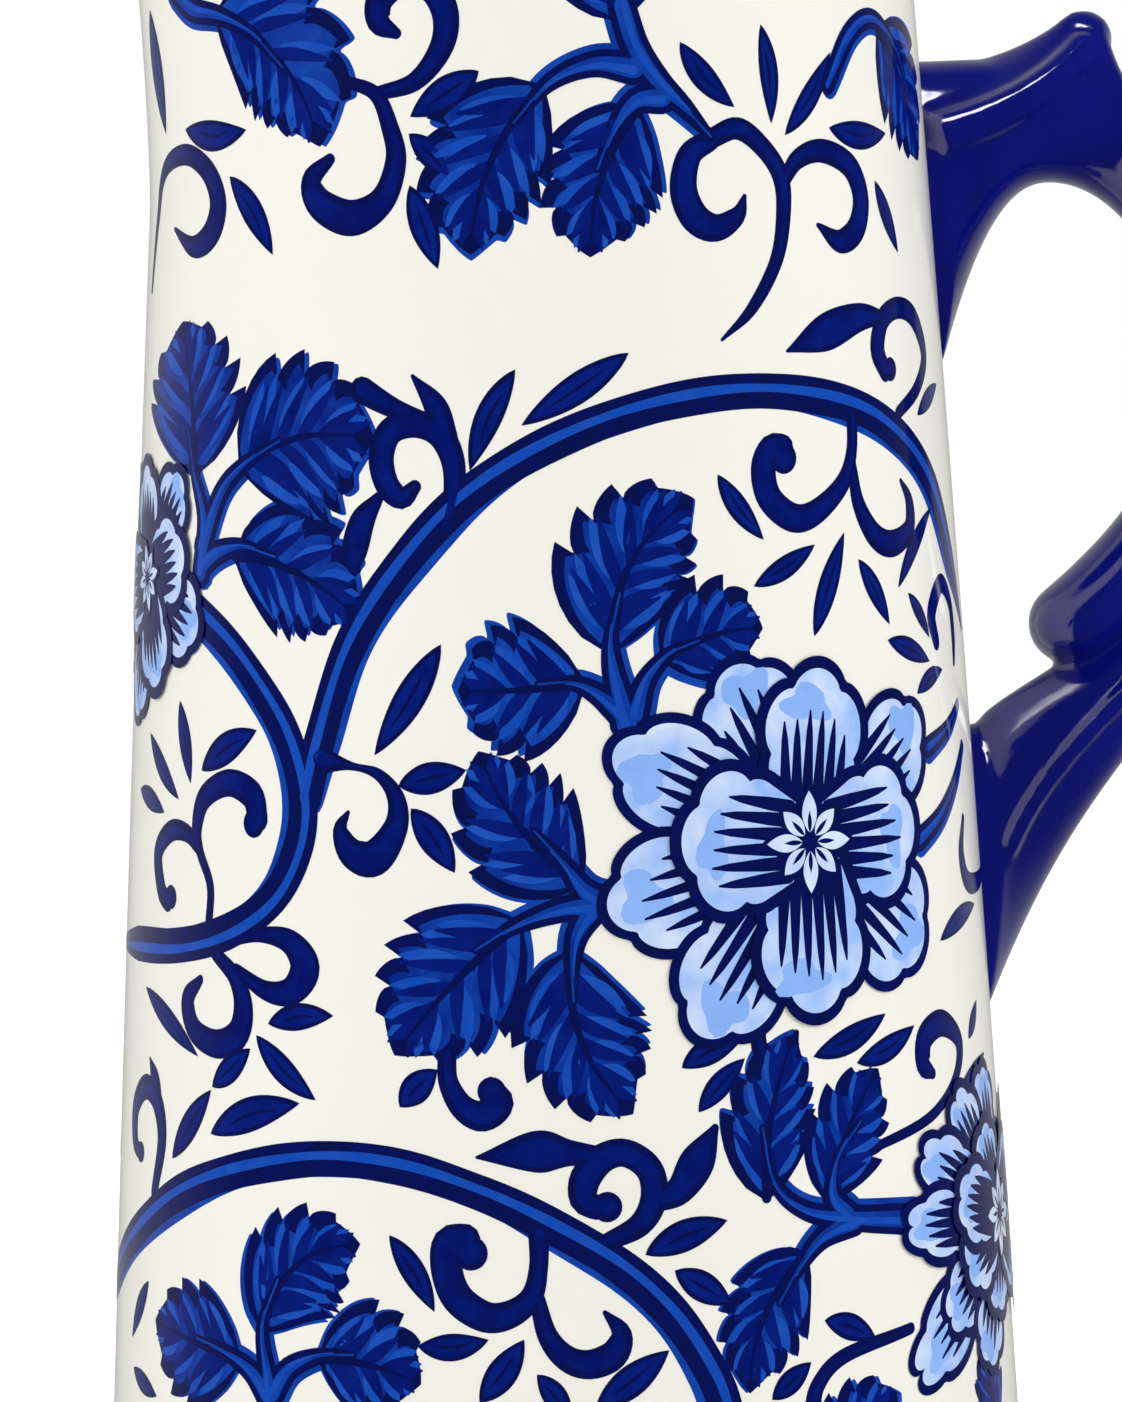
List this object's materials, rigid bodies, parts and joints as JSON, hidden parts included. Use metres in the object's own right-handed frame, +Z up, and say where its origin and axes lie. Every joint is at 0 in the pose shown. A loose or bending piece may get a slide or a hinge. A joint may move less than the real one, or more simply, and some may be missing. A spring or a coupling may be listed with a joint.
{
  "type": "pitcher",
  "caption": "Tall tapered pottery pitcher with a drawn pouring lip, a moulded scroll handle and a flat foot, for holding and pouring liquids.",
  "frame": {"origin": "centre of the flat foot, on the jug's axis, on the surface that it stands on", "axes": "+Z up along the jug's axis, +X towards the handle, -X towards the spout"},
  "size_m": [0.1745, 0.1316, 0.2585],
  "materials": {
    "cream_glaze": "clear gloss glaze over cream-white clay",
    "cobalt_glaze": "deep cobalt gloss glaze"
  },
  "bodies": {
    "root": {"body_wall": "cream_glaze", "base_disc": "cream_glaze", "pouring_spout": "cream_glaze", "handle_bow": "cobalt_glaze", "handle_branch": "cobalt_glaze", "upper_luting": "cobalt_glaze", "lower_luting": "cobalt_glaze"}
  },
  "joints": []
}
